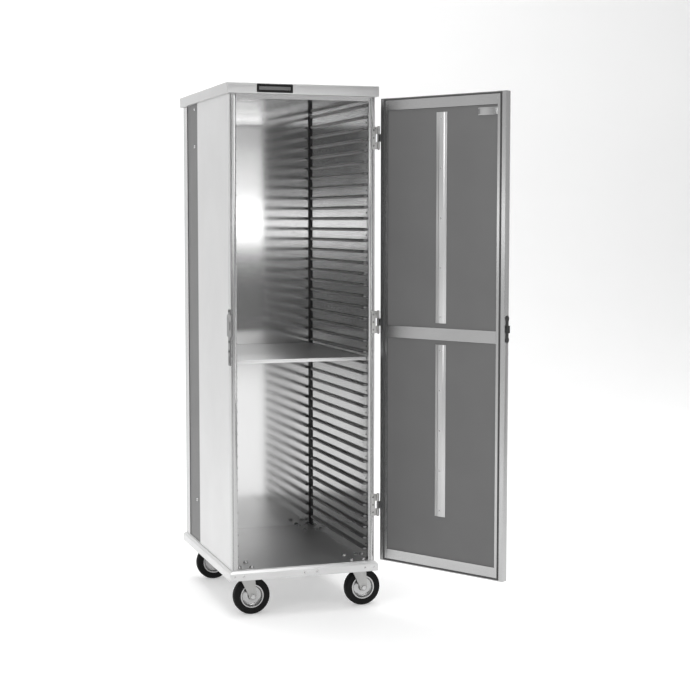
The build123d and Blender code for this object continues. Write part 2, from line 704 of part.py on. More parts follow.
def tyre(x, y):
    """Solid tyre with rounded shoulders."""
    half = WHEEL_HALF_WIDTH
    outline = [
        (TYRE_INNER, -14), (TYRE_INNER + 2, -half + 1), (56, -half), (61.5, -half + 3.5),
        (WHEEL_RADIUS, -half + 8), (WHEEL_RADIUS, half - 8), (61.5, half - 3.5), (56, half),
        (TYRE_INNER + 2, half - 1), (TYRE_INNER, 14),
    ]
    return Pos(x + TRAIL, y, WHEEL_RADIUS) * Rot(90, 0, 0) * ring_profile(outline)


parts["caster_mounts"] = group(caster_mount(x, y) for x, y in kingpins().values())
for corner, (x, y) in kingpins().items():
    parts[f"{corner}_fork"] = fork(x, y)
    parts[f"{corner}_axle"] = axle(x, y)
    parts[f"{corner}_wheel"] = wheel_core(x, y)
    parts[f"{corner}_tyre"] = tyre(x, y)

# ---------------------------------------------------------------- write the parts
os.makedirs("parts", exist_ok=True)
placing = Pos(CABINET_X, CABINET_Y, 0)


def placed(shape):
    """The shape's solids, each moved into the finished frame."""
    solids = [placing * solid for solid in shape.solids()]
    return solids[0] if len(solids) == 1 else Compound(solids)


everything = []
for name, shape in parts.items():
    finished = placed(shape)
    export_step(finished, f"parts/{name}.step")
    everything.append(finished)

box = Compound(everything).bounding_box()
print(len(parts), "sub-parts, box", box.min, box.max, "middle", box.center())
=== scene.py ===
import json
import math

import bmesh
import bpy
from mathutils import Matrix, Vector


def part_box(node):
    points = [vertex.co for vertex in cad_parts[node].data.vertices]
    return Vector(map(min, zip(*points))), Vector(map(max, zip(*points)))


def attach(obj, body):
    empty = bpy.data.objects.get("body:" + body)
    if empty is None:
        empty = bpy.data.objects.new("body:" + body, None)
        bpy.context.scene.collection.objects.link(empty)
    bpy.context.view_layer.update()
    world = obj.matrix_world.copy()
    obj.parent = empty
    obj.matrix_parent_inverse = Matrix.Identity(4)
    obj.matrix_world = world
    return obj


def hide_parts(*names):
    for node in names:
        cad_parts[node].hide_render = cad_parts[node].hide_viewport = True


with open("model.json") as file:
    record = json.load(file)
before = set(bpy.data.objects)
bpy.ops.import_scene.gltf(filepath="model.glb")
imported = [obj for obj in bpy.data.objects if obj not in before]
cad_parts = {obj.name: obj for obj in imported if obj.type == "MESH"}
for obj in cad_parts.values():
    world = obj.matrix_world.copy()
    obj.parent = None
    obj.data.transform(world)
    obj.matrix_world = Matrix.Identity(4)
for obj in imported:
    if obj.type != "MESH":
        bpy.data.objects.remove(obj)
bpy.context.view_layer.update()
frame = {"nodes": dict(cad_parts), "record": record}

# ---------------------------------------------------------------- spaces
# Pieces are drawn in millimetres, either in the cabinet's own coordinates (X across, Y to
# the back, Z up, middle of the cabinet at X = Y = 0) or in the same coordinates with the
# door closed, and one matrix then takes each of them into the frame.
MM = 0.001
record = frame["record"]
joints = {joint["name"]: joint for joint in record["behaviour"]["joints"]}
cap_low, cap_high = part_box("top_cap")
middle_x = (cap_low.x + cap_high.x) / 2
middle_y = (cap_low.y + cap_high.y) / 2
door_angle = math.radians(-joints["door_hinge"]["range_deg"][0])
door_pin = Vector(joints["door_hinge"]["pos_m"])

CABINET = Matrix.Translation((middle_x, middle_y, 0)) @ Matrix.Scale(MM, 4)
SWING = (Matrix.Translation(door_pin) @ Matrix.Rotation(door_angle, 4, "Z")
         @ Matrix.Translation(-door_pin))
DOOR = SWING @ CABINET
CORNERS = ("front_left", "front_right", "rear_left", "rear_right")
SIDES = (-1, 1)


def span(node, space=CABINET):
    """Lowest and highest corner of a CAD node, in the millimetres of one space."""
    back = space.inverted()
    points = [back @ vertex.co for vertex in frame["nodes"][node].data.vertices]
    low = Vector([min(p[i] for p in points) for i in range(3)])
    high = Vector([max(p[i] for p in points) for i in range(3)])
    return low, high


# ---------------------------------------------------------------- materials
def node_of(material, kind, **values):
    """A shader node with some of its sockets set."""
    node = material.node_tree.nodes.new(kind)
    for name, value in values.items():
        node.inputs[name.replace("_", " ")].default_value = value
    return node


def stretched_noise(material, stretch, detail=4.0, roughness=0.55):
    """Noise on the piece's own coordinates, with its own scale along each axis."""
    link = material.node_tree.links.new
    place = node_of(material, "ShaderNodeTexCoord")
    mapping = node_of(material, "ShaderNodeMapping", Scale=stretch)
    noise = node_of(material, "ShaderNodeTexNoise", Scale=1.0, Detail=detail, Roughness=roughness)
    link(place.outputs["Object"], mapping.inputs["Vector"])
    link(mapping.outputs["Vector"], noise.inputs["Vector"])
    return noise.outputs["Fac"]


def between(material, factor, low, high):
    """Map 0..1 noise, which mostly lies between 0.3 and 0.7, to a range of values."""
    reach = node_of(material, "ShaderNodeMapRange", From_Min=0.3, From_Max=0.7,
                    To_Min=low, To_Max=high)
    material.node_tree.links.new(factor, reach.inputs["Value"])
    return reach.outputs["Result"]


MIX_FACTOR, MIX_FIRST, MIX_SECOND = 0, 6, 7     # a Mix node's inputs when it mixes colours
MIX_RESULT = 2                                  # and its output


def two_colours(material, factor, first, second):
    """A blend from the first colour to the second."""
    mix = material.node_tree.nodes.new("ShaderNodeMix")
    mix.data_type = "RGBA"
    mix.inputs[MIX_FIRST].default_value = (*first, 1)
    mix.inputs[MIX_SECOND].default_value = (*second, 1)
    material.node_tree.links.new(factor, mix.inputs[MIX_FACTOR])
    return mix.outputs[MIX_RESULT]


def bumped(material, height, strength, distance, after=None):
    """A bump from a height, on top of an earlier bump when one is given."""
    bump = node_of(material, "ShaderNodeBump", Strength=strength, Distance=distance)
    material.node_tree.links.new(height, bump.inputs["Height"])
    if after is not None:
        material.node_tree.links.new(after, bump.inputs["Normal"])
    return bump.outputs["Normal"]


def surface(name, tone, roughness, metallic=1.0, grain=(60, 60, 60), shade=0.06,
            rough_swing=0.05, grain_bump=0.15, grain_depth=0.00004, wave=0.0, sheen=0.5,
            tint=(1, 1, 1)):
    """One surface: roughness that varies along a grain and tone in soft blotches, with a fine
    bump along the grain and, on thin sheet, a slow wave. Sheen is the strength of the
    reflections on what is not metal."""
    material = bpy.data.materials.new(name)
    material.use_nodes = True
    link = material.node_tree.links.new
    shader = material.node_tree.nodes["Principled BSDF"]
    shader.inputs["Metallic"].default_value = metallic
    shader.inputs["Specular IOR Level"].default_value = sheen
    fine = stretched_noise(material, grain)
    blotch = stretched_noise(material, (5, 5, 5), detail=6.0)
    light = [tone * part for part in tint]
    dark = [(tone - shade * tone) * part for part in tint]
    link(two_colours(material, between(material, blotch, 0, 1), dark, light),
         shader.inputs["Base Color"])
    link(between(material, fine, roughness - rough_swing, roughness + rough_swing),
         shader.inputs["Roughness"])
    normal = bumped(material, fine, grain_bump, grain_depth)
    if wave:
        slow = stretched_noise(material, (2.2, 2.2, 1.3), detail=1.0, roughness=0.4)
        normal = bumped(material, slow, 1.0, wave, after=normal)
    link(normal, shader.inputs["Normal"])
    return material


UPRIGHT = (900, 900, 9)         # grain that runs up and down
ACROSS = (9, 900, 900)          # grain that runs along X
BACKWARD = (900, 9, 900)        # grain that runs along Y

outer_sheet = surface("outer_sheet_brushed", 0.62, 0.34, grain=UPRIGHT, wave=0.0005,
                      rough_swing=0.02, grain_bump=0.04)
cap_sheet = surface("cap_sheet_brushed", 0.60, 0.38, grain=ACROSS, rough_swing=0.02,
                    grain_bump=0.04)
door_sheet = surface("door_sheet_brushed", 0.72, 0.36, grain=UPRIGHT, wave=0.0004,
                     grain_bump=0.05)
liner_sheet = surface("liner_sheet_mill", 0.66, 0.11, grain=UPRIGHT, wave=0.0009,
                      shade=0.04, rough_swing=0.02, grain_bump=0.02)
# The ribs' sheet is far darker than the liner they are pressed from: painted shade for the ribs'
# shadowed sides.
rib_painted_shade = surface("rib_mill_painted_shade", 0.20, 0.30, grain=BACKWARD, shade=0.10, rough_swing=0.03,
                    grain_bump=0.04)
floor_sheet = surface("floor_sheet_mill", 0.74, 0.40, grain=BACKWARD, wave=0.0003, shade=0.03,
                      rough_swing=0.02, grain_bump=0.02)
extrusion = surface("extrusion_satin", 0.47, 0.19, grain=UPRIGHT, shade=0.06, rough_swing=0.015,
                    grain_bump=0.03)
base_extrusion = surface("base_extrusion_satin", 0.66, 0.34, grain=ACROSS, shade=0.08,
                         grain_bump=0.05)
rear_panel = surface("rear_panel_dull_grey", 0.20, 0.55, metallic=0.6, grain=UPRIGHT,
                     shade=0.10, grain_bump=0.05)
door_lining = surface("door_lining_grey", 0.125, 0.42, metallic=0.0, grain=(40, 40, 40),
                      grain_bump=0.05, shade=0.08, wave=0.0004)
zinc = surface("zinc_plated", 0.46, 0.34, grain=(160, 160, 160), shade=0.22,
               rough_swing=0.08, grain_bump=0.08, tint=(1.0, 0.995, 0.98))
screw_steel = surface("screw_steel", 0.60, 0.25, grain=(250, 250, 250), shade=0.12)
dark_screw = surface("screw_blackened", 0.06, 0.35, grain=(250, 250, 250), shade=0.2)
dark_metal = surface("latch_dark_metal", 0.07, 0.40, grain=(300, 300, 300), shade=0.25)
# Darker steel for the door's hinge leaves and knuckles than the frame's zinc leaves: painted
# shade on one metal.
door_hinge_painted_shade = surface("door_hinge_painted_shade_metal", 0.20, 0.30, grain=(160, 160, 160), shade=0.25)
keeper_steel = surface("keeper_dull_steel", 0.19, 0.32, grain=(160, 160, 160), shade=0.25)
strip_metal = surface("door_strip_satin", 0.58, 0.36, grain=UPRIGHT, rough_swing=0.02,
                      grain_bump=0.03)
wheel_metal = surface("wheel_cast_metal", 0.55, 0.22, grain=(180, 180, 180), shade=0.25)
tyre_rubber = surface("tyre_black_rubber", 0.008, 0.72, metallic=0.0, grain=(420, 420, 420),
                      shade=0.35, grain_bump=0.35, grain_depth=0.00025, sheen=0.2)
seal_rubber = surface("seal_dark_rubber", 0.05, 0.62, metallic=0.0, grain=(300, 300, 300),
                      shade=0.15, grain_bump=0.2)
plate_plastic = surface("plate_black_plastic", 0.012, 0.42, metallic=0.0, grain=(260, 260, 260),
                        shade=0.2, sheen=0.2)
plate_inlay = surface("plate_grey_inlay", 0.16, 0.40, metallic=0.3, grain=ACROSS, shade=0.2)
insulation = surface("glass_fibre_mat", 0.72, 0.95, metallic=0.0, grain=(700, 700, 90),
                     shade=0.35, grain_bump=0.8, grain_depth=0.0015, tint=(1.0, 0.9, 0.58))


# ---------------------------------------------------------------- mesh helpers
def add_box(bm, low, high, radius=0.0, steps=2):
    """A box, with all its edges rounded when a radius is given."""
    made = bmesh.ops.create_cube(bm, size=1.0)
    size = [high[i] - low[i] for i in range(3)]
    middle = [(high[i] + low[i]) / 2 for i in range(3)]
    bmesh.ops.scale(bm, vec=size, verts=made["verts"])
    bmesh.ops.translate(bm, vec=middle, verts=made["verts"])
    if radius:
        edges = list({edge for vertex in made["verts"] for edge in vertex.link_edges})
        bmesh.ops.bevel(bm, geom=edges, offset=radius, segments=steps, affect="EDGES",
                        profile=0.5, clamp_overlap=True)


def along(axis, a, b, height):
    """A point from two outline coordinates and a height along an axis."""
    return {"X": (height, a, b), "Y": (a, height, b), "Z": (a, b, height)}[axis]


def rectangle(left, bottom, right, top):
    """Corners of a rectangle, anticlockwise from the lower left."""
    return [(left, bottom), (right, bottom), (right, top), (left, top)]


def inset_outline(outline, inset):
    """An anticlockwise or clockwise outline moved in by a small distance."""
    count = len(outline)
    area = sum(outline[i][0] * outline[(i + 1) % count][1]
               - outline[(i + 1) % count][0] * outline[i][1] for i in range(count))
    turn = 1 if area > 0 else -1
    moved = []
    for i in range(count):
        before, here, after = (Vector(outline[(i + k) % count]) for k in (-1, 0, 1))
        first = (here - before).normalized()
        second = (after - here).normalized()
        normal_one = Vector((-first.y, first.x)) * turn
        normal_two = Vector((-second.y, second.x)) * turn
        spread = max(1 + normal_one.dot(normal_two), 0.3)
        moved.append(here + (normal_one + normal_two) * (inset / spread))
    return moved


def rounded(points, radius, steps=5):
    """An outline with its corners rounded; radius is one number or one for each corner."""
    count = len(points)
    radii = [radius] * count if isinstance(radius, (int, float)) else list(radius)
    outline = []
    for i in range(count):
        before, here, after = (Vector(points[(i + k) % count]) for k in (-1, 0, 1))
        if radii[i] <= 0:
            outline.append(here)
            continue
        to_before = (before - here).normalized()
        to_after = (after - here).normalized()
        half = math.acos(max(-1.0, min(1.0, to_before.dot(to_after)))) / 2
        reach = radii[i] / math.tan(half)
        centre = here + (to_before + to_after).normalized() * (radii[i] / math.sin(half))
        start = here + to_before * reach - centre
        end = here + to_after * reach - centre
        sweep = math.atan2(start.x * end.y - start.y * end.x, start.dot(end))
        for k in range(steps + 1):
            angle = sweep * k / steps
            spoke = Matrix.Rotation(angle, 2) @ start
            outline.append(centre + spoke)
    return outline


def add_rings(bm, rings, close=True):
    """A skin over rings of points, each ring with the same count, capped at both ends."""
    made = [[bm.verts.new(point) for point in ring] for ring in rings]
    count = len(made[0])
    for lower, upper in zip(made, made[1:]):
        for i in range(count):
            j = (i + 1) % count
            bm.faces.new((lower[i], lower[j], upper[j], upper[i]))
    if close:
        bm.faces.new(list(reversed(made[0])))
        bm.faces.new(made[-1])


def add_prism(bm, outline, low, high, axis="Z", edge=0.0):
    """A prism along an axis, its two end faces chamfered when an edge size is given."""
    if not edge:
        levels = [(low, 0.0), (high, 0.0)]
    else:
        soft = edge * 0.3
        levels = [(low, edge), (low + soft, soft), (low + edge, 0.0),
                  (high - edge, 0.0), (high - soft, soft), (high, edge)]
    rings = []
    for height, inset in levels:
        shape = inset_outline(outline, inset) if inset else outline
        rings.append([along(axis, p[0], p[1], height) for p in shape])
    add_rings(bm, rings)


def add_turned(bm, profile, centre, axis="Z", count=40, turn=1):
    """A profile of (radius, offset) points turned about an axis; turn -1 flips it. Its ends
    lie on the axis or meet each other, and are welded shut."""
    before = set(bm.verts)
    rings = []
    for radius, offset in profile:
        ring = []
        for k in range(count):
            angle = 2 * math.pi * k / count
            a, b = radius * math.cos(angle), radius * math.sin(angle)
            point = Vector(along(axis, a, b, offset * turn)) + Vector(centre)
            ring.append(point)
        rings.append(ring)
    add_rings(bm, rings, close=False)
    fresh = [vertex for vertex in bm.verts if vertex not in before]
    bmesh.ops.remove_doubles(bm, verts=fresh, dist=0.0005)


def ring_outline(points):
    """Close an outline of (radius, offset) so that a lathe makes a ring."""
    return list(points) + [points[0]]


def add_screw(bm, centre, axis, turn, radius):
    """Low domed screw head with a recess in its middle."""
    rise = radius * 0.55
    profile = [(0, 0), (radius, 0), (radius, rise * 0.25), (radius * 0.86, rise * 0.7),
               (radius * 0.55, rise), (radius * 0.42, rise), (radius * 0.36, rise * 0.45),
               (0, rise * 0.4)]
    add_turned(bm, profile, centre, axis, 20, turn)


def add_rivet(bm, centre, axis, turn, radius):
    """Plain domed rivet head."""
    rise = radius * 0.5
    profile = [(0, 0), (radius, 0), (radius * 0.97, rise * 0.3), (radius * 0.8, rise * 0.7),
               (radius * 0.5, rise * 0.93), (0, rise)]
    add_turned(bm, profile, centre, axis, 20, turn)


def add_hex(bm, centre, across_flats, height, turn=1):
    """Hexagon head or nut with its corners turned off on the outer face."""
    radius = across_flats / math.sqrt(3)
    rings = []
    levels = [(0, 1.0), (height * 0.82, 1.0), (height * 0.95, 0.93), (height, 0.84)]
    for offset, size in levels:
        ring = []
        for k in range(6):
            angle = math.pi / 3 * k
            ring.append((centre[0] + radius * size * math.cos(angle),
                         centre[1] + radius * size * math.sin(angle),
                         centre[2] + offset * turn))
        rings.append(ring)
    add_rings(bm, rings)


def finish_piece(name, bm, material, body, space=CABINET, replaces=(), bevel=0.0,
                 smooth=35.0):
    """Turn a mesh drawn in millimetres into a piece that rides on a body."""
    bmesh.ops.recalc_face_normals(bm, faces=bm.faces)
    bm.transform(space)
    mesh = bpy.data.meshes.new(name)
    bm.to_mesh(mesh)
    bm.free()
    mesh.materials.append(material)
    mesh.shade_smooth()
    mesh.set_sharp_from_angle(angle=math.radians(smooth))
    piece = bpy.data.objects.new(name, mesh)
    bpy.context.collection.objects.link(piece)
    if bevel:
        soften(piece, bevel)
    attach(piece, body)
    if replaces:
        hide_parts(*replaces)


def soften(piece, width):
    """Small rounding on every sharp edge, width in millimetres."""
    rounding = piece.modifiers.new("rounded edges", "BEVEL")
    rounding.width = width * MM
    rounding.segments = 2
    rounding.limit_method = "ANGLE"
    rounding.angle_limit = math.radians(40)
    rounding.harden_normals = True


BODY_OF = {node: body for body, nodes in record["behaviour"]["bodies"].items() for node in nodes}


def softened(node, material, bevel):
    """Stand-in for a CAD node of the right shape: the same solid with its edges rounded."""
    bm = bmesh.new()
    bm.from_mesh(frame["nodes"][node].data)
    bmesh.ops.remove_doubles(bm, verts=bm.verts, dist=0.000002)
    bmesh.ops.dissolve_limit(bm, angle_limit=math.radians(0.6), verts=bm.verts, edges=bm.edges)
    bm.transform(CABINET.inverted())
    finish_piece(f"{node}_finished", bm, material, BODY_OF[node],
                 replaces=(node,), bevel=bevel)


def keep(node, material):
    """A CAD node that shows as it is, with a better material."""
    slots = frame["nodes"][node].material_slots
    if not slots:
        frame["nodes"][node].data.materials.append(material)
    for place in slots:
        place.material = material


# ---------------------------------------------------------------- base
def base_and_floor():
    softened("base_rails", base_extrusion, 0.7)
    keep("floor_pan", floor_sheet)
    keep("underfloor_sheet", outer_sheet)
    softened("caster_mounting_bars", zinc, 0.8)
    for node in ("floor_insulation", "wall_insulation", "roof_insulation", "door_core"):
        keep(node, insulation)


def caster_places():
    """Kingpin of each caster, in the cabinet's millimetres."""
    back = CABINET.inverted()
    for corner in CORNERS:
        yield corner, back @ Vector(joints[f"{corner}_swivel_turn"]["pos_m"])


def bolt_places():
    """Middles of the four bolts round each kingpin."""
    half_across, half_along = 22, 40
    for _, pin in caster_places():
        for dx in (-half_across, half_across):
            for dy in (-half_along, half_along):
                yield pin.x + dx, pin.y + dy


def caster_bolts():
    """Hexagon heads and washers on the floor pan, shanks, and nuts under the plates."""
    low, high = span("caster_bolts")
    floor_top = span("floor_pan")[1].z
    plate_bottom = 150.0
    washer_thick, across_flats, nut_height = 1.6, 13, 6.5
    washer = [(0, 0), (8.5, 0), (8.5, 1.2), (8.0, washer_thick), (0, washer_thick)]
    shank = [(0, low.z), (3.2, low.z), (4, low.z + 1), (4, floor_top), (0, floor_top)]
    head_height = high.z - floor_top - washer_thick
    bm = bmesh.new()
    for x, y in bolt_places():
        add_turned(bm, washer, (x, y, floor_top), "Z", 28)
        add_hex(bm, (x, y, floor_top + washer_thick), across_flats, head_height)
        add_turned(bm, shank, (x, y, 0), "Z", 20)
        add_hex(bm, (x, y, plate_bottom), across_flats, nut_height, turn=-1)
    finish_piece("caster_bolt_set", bm, screw_steel, "cabinet",
                 replaces=("caster_bolts",))


# ---------------------------------------------------------------- body
def top_cap():
    """Folded lid: rounded top edge, deep lip and a hemmed lower edge."""
    low, high = span("top_cap")
    corner, top_round, hem = 4.0, 2.5, 0.8
    lip_width, lip_depth, steps = 14.0, 2.4, 5
    outline = rounded(rectangle(low.x, low.y, high.x, high.y), corner, 6)
    levels = [(low.z + lip_depth, lip_width), (low.z, lip_width), (low.z, hem),
              (low.z + 0.25, 0.25), (low.z + hem, 0.0)]
    for k in range(steps + 1):
        angle = math.pi / 2 * k / steps
        levels.append((high.z - top_round * (1 - math.sin(angle)),
                       top_round * (1 - math.cos(angle))))
    bm = bmesh.new()
    rings = [[(p[0], p[1], height) for p in inset_outline(outline, inset)]
             for height, inset in levels]
    add_rings(bm, rings)
    finish_piece("cap_shell", bm, cap_sheet, "cabinet", replaces=("top_cap",))


def body_shell():
    softened("side_skins", outer_sheet, 0.4)
    softened("rear_side_panels", rear_panel, 0.4)
    softened("back_skin", outer_sheet, 0.4)
    for node in ("left_front_post", "right_front_post", "rear_corner_posts"):
        softened(node, extrusion, 0.6)
    softened("header_rail", extrusion, 0.6)
    for node in ("side_liners", "back_liner", "ceiling_liner"):
        keep(node, liner_sheet)


RIB_COUNT = 41
RIB_HALF_HEIGHT = 5.0


def rib_sides():
    """Each side's sign, its CAD ribs and their box, and the liner's face behind them."""
    for side, node in ((-1, "left_pan_ribs"), (1, "right_pan_ribs")):
        low, high = span(node)
        wall = low.x if side < 0 else high.x
        yield side, node, low, high, wall


def rib_pitch(low, high):
    """The step from rib to rib in a stack that fills this box."""
    return (high.z - low.z - 2 * RIB_HALF_HEIGHT) / (RIB_COUNT - 1)


def corner_painted_shade_strips():
    """Dark strips of seal rubber up the liner's two rear corners, behind the ribs' ends: painted
    shade where the corners fall dark.
    """
    thickness, gap, back_gap = 1.0, 1, 0.2
    back = span("back_liner")[0].y
    liner_low, liner_high = span("side_liners")
    bm = bmesh.new()
    for side, _, _, high, wall in rib_sides():
        inner = wall - side * thickness
        add_box(bm, (min(wall, inner), high.y + gap, liner_low.z + gap),
                (max(wall, inner), back - back_gap, liner_high.z - gap), 0.3)
    finish_piece("liner_corner_painted_shade", bm, seal_rubber, "cabinet")


# One rib's section from foot to nose: (how far out, half height), each as a share of the whole.
RIB_PROFILE = ((0.0, 1.22), (0.05, 1.08), (0.20, 1.0), (0.50, 0.96), (0.72, 0.80),
               (0.88, 0.52), (0.97, 0.18))


def rib_sections(wall, outward, z, front, back, depth, half_height):
    """Rings of one pressed rib: flared foot, round nose and closed, rounded ends."""
    outline = list(RIB_PROFILE) + [(d, -h) for d, h in reversed(RIB_PROFILE)]
    end, steps = 12.0, 7
    flattest, sunk = 0.03, 0.1
    head = []
    for k in range(steps + 1):
        angle = math.pi / 2 * k / steps
        head.append((front + end * (1 - math.cos(angle)), math.sin(angle)))
    tail = [(back - (y - front), size) for y, size in reversed(head)]
    rings = []
    for y, size in head + tail:
        ring = []
        for d, h in outline:
            out = d * depth * max(size, flattest) - sunk
            ring.append((wall + outward * out, y, z + h * half_height * (0.5 + 0.5 * size)))
        rings.append(ring)
    return rings


def pan_ribs():
    """The pressed pan ledges on both side liners, at the CAD ribs' heights, in a dark sheet whose
    tone is painted shade.
    """
    for side, node, low, high, wall in rib_sides():
        pitch = rib_pitch(low, high)
        depth = high.x - low.x
        bm = bmesh.new()
        for k in range(RIB_COUNT):
            z = low.z + RIB_HALF_HEIGHT + k * pitch
            add_rings(bm, rib_sections(wall, -side, z, low.y, high.y, depth, RIB_HALF_HEIGHT))
        finish_piece(f"{node}_pressed", bm, rib_painted_shade, "cabinet",
                     replaces=(node,), smooth=50)


def middle_shelf():
    """Sheet shelf with a rolled front edge and turned-down sides that stand on the ribs."""
    low, high = span("middle_shelf")
    thick, hem, fold = 1.5, 12.0, 1.2
    side_front, side_back = 10, 20
    hem_back = low.y + 3.4
    foot = high.z - hem
    profile = [(low.y, foot), (hem_back, foot), (hem_back, foot + fold),
               (low.y + thick, foot + fold), (low.y + thick, high.z - thick),
               (high.y, high.z - thick), (high.y, high.z), (low.y, high.z)]
    radii = [0.6, 0.5, 0.4, 0.5, 0.5, 0.4, 0.6, 2.2]
    bm = bmesh.new()
    add_prism(bm, rounded(profile, radii, 4), low.x, high.x, "X", edge=0.3)
    for x in (low.x, high.x - thick):
        add_box(bm, (x, low.y + side_front, low.z),
                (x + thick, high.y - side_back, high.z - 0.5), 0.3)
    finish_piece("shelf_sheet", bm, floor_sheet, "shelf",
                 replaces=("middle_shelf",))


def nameplate():
    """Blank plate on the cap: a raised dark rim round a lighter inlay."""
    low, high = span("nameplate")
    rim = 6.0
    in_x, in_z = rim + 2, rim + 2.5
    bm = bmesh.new()
    outline = rounded(rectangle(low.x, low.z, high.x, high.z), 3.0)
    rings = []
    for y, inset in ((high.y, 0.0), (low.y + 0.5, 0.0), (low.y, 0.5), (low.y, rim - 1),
                     (low.y + 0.7, rim - 0.3)):
        rings.append([(p[0], y, p[1]) for p in inset_outline(outline, inset)])
    add_rings(bm, rings)
    finish_piece("nameplate_rim", bm, plate_plastic, "cabinet",
                 replaces=("nameplate",))
    bm = bmesh.new()
    inner = rounded(rectangle(low.x + in_x, low.z + in_z, high.x - in_x, high.z - in_z), 2.0)
    add_prism(bm, inner, low.y + 0.25, low.y + 0.9, "Y", edge=0.15)
    finish_piece("nameplate_inlay", bm, plate_inlay, "cabinet")


# ---------------------------------------------------------------- hinges and fasteners
HINGE_HEIGHTS = (363.0, 994.0, 1618.0)
HINGE_HALF = 38.0               # half the height of a leaf
LEAF_SIDE = 255.5               # X of the leaves on the outer side of the cabinet
LEAF_THICK = 2.5
LEAF_CORNERS = (4, 0.5, 0.5, 4)
SCREW_STEP = 26.0               # from screw to screw in a leaf
LEAF_SCREW_RADIUS = 3.6


def add_knuckle(bm, x, y, bottom, length):
    """One rolled knuckle of a hinge, with both its ends chamfered."""
    outer, bore, edge = 4.5, 2.7, 0.4
    barrel = [(bore, 0.0), (outer - edge, 0.0), (outer, edge), (outer, length - edge),
              (outer - edge, length), (bore, length)]
    add_turned(bm, ring_outline(barrel), (x, y, bottom), "Z", 28)


def hinges():
    """Leaves with rounded corners, rolled knuckles and headed pins, at three heights."""
    low, high = span("hinge_pins")
    pin_x, pin_y = (low.x + high.x) / 2, (low.y + high.y) / 2
    web_end = pin_x - 1
    frame_edge, frame_face = 241, -346.5
    door_edge, door_root = -372, -350
    frame_gap, door_half = 13.3, 12.8       # from a hinge's middle to the knuckles' ends
    pin = [(0, -40), (2.0, -40), (2.5, -39.4), (2.5, 38), (4.0, 38), (4.2, 38.6),
           (3.4, 39.6), (0, 40)]
    frame_bm, door_bm, pin_bm = bmesh.new(), bmesh.new(), bmesh.new()
    for z in HINGE_HEIGHTS:
        bottom, top = z - HINGE_HALF, z + HINGE_HALF
        leaf = rounded(rectangle(frame_edge, bottom, LEAF_SIDE, top), LEAF_CORNERS)
        add_prism(frame_bm, leaf, frame_face, frame_face + LEAF_THICK, "Y", edge=0.4)
        for start, end in ((bottom, z - frame_gap), (z + frame_gap, top)):
            add_box(frame_bm, (LEAF_SIDE - 1, frame_face, start),
                    (web_end, frame_face + 2.3, end), 0.3)
            add_knuckle(frame_bm, pin_x, pin_y, start, end - start)
        door_leaf = rounded(rectangle(door_edge, bottom, door_root, top), LEAF_CORNERS)
        add_prism(door_bm, door_leaf, LEAF_SIDE - LEAF_THICK, LEAF_SIDE, "X", edge=0.4)
        add_box(door_bm, (LEAF_SIDE - 0.7, door_root - 3.4, z - door_half),
                (web_end, door_root - 1, z + door_half), 0.3)
        add_knuckle(door_bm, pin_x, pin_y, z - door_half, 2 * door_half)
        add_turned(pin_bm, pin, (pin_x, pin_y, z), "Z", 24)
    finish_piece("frame_hinge_leaves", frame_bm, zinc, "cabinet",
                 replaces=("hinge_frame_leaves",))
    # The door's leaves and knuckles take the darkened steel as painted shade. The pins take the
    # near-black latch metal, also as painted shade.
    finish_piece("door_hinge_leaves", door_bm, door_hinge_painted_shade, "door", space=DOOR,
                 replaces=("hinge_door_leaves",))
    finish_piece("headed_hinge_pins", pin_bm, dark_metal, "cabinet",
                 replaces=("hinge_pins",))


def body_screws():
    """Dark screws in the hinges and the keeper and dark rivets beside the ribs; bright
    rivets in the base and screws in the rear panels."""
    leaf_screw_x, leaf_screw_y = 247.5, -345.1
    keeper_y, keeper_heights = -331, (906, 938, 1040)
    base_z, base_places = 148, (-247, -216, 216, 247)
    panel_y, panel_heights = 175, (319, 1605, 1739)
    dark, bright = bmesh.new(), bmesh.new()
    for z in HINGE_HEIGHTS:
        for dz in (-SCREW_STEP, 0, SCREW_STEP):
            place = (leaf_screw_x, leaf_screw_y, z + dz)
            add_screw(dark, place, "Y", -1, LEAF_SCREW_RADIUS)
    plate_face = span("latch_keeper")[1].x - 3
    for z in keeper_heights:
        add_screw(dark, (plate_face, keeper_y, z), "X", -1, 4.2)
    base_front = span("base_rails")[0].y
    for x in base_places:
        add_rivet(bright, (x, base_front, base_z), "Y", -1, 3.6)
    for side, _, low, high, wall in rib_sides():
        pitch = rib_pitch(low, high)
        for k in range(0, RIB_COUNT - 1, 2):
            z = low.z + RIB_HALF_HEIGHT + (k + 0.5) * pitch
            add_rivet(dark, (wall, low.y - 2, z), "X", -side, 2.9)
    panel_low, panel_high = span("rear_side_panels")
    for z in panel_heights:
        add_screw(bright, (panel_low.x, panel_y, z), "X", -1, 6.0)
        add_screw(bright, (panel_high.x, panel_y, z), "X", 1, 6.0)
    finish_piece("body_screws", bright, screw_steel, "cabinet",
                 replaces=("body_fasteners",))
    finish_piece("hinge_and_keeper_screws", dark, dark_screw, "cabinet")


# ---------------------------------------------------------------- door
def door_frame():
    for node in ("door_hinge_stile", "door_latch_stile", "door_top_rail", "door_middle_rail",
                 "door_bottom_rail"):
        softened(node, extrusion, 0.9)
    softened("door_skin", door_sheet, 0.4)
    keep("door_liner_panels", door_lining)


STRIP_ENDS = ((355, 930), (1001, 1693))     # bottom and top of the lower and upper strip


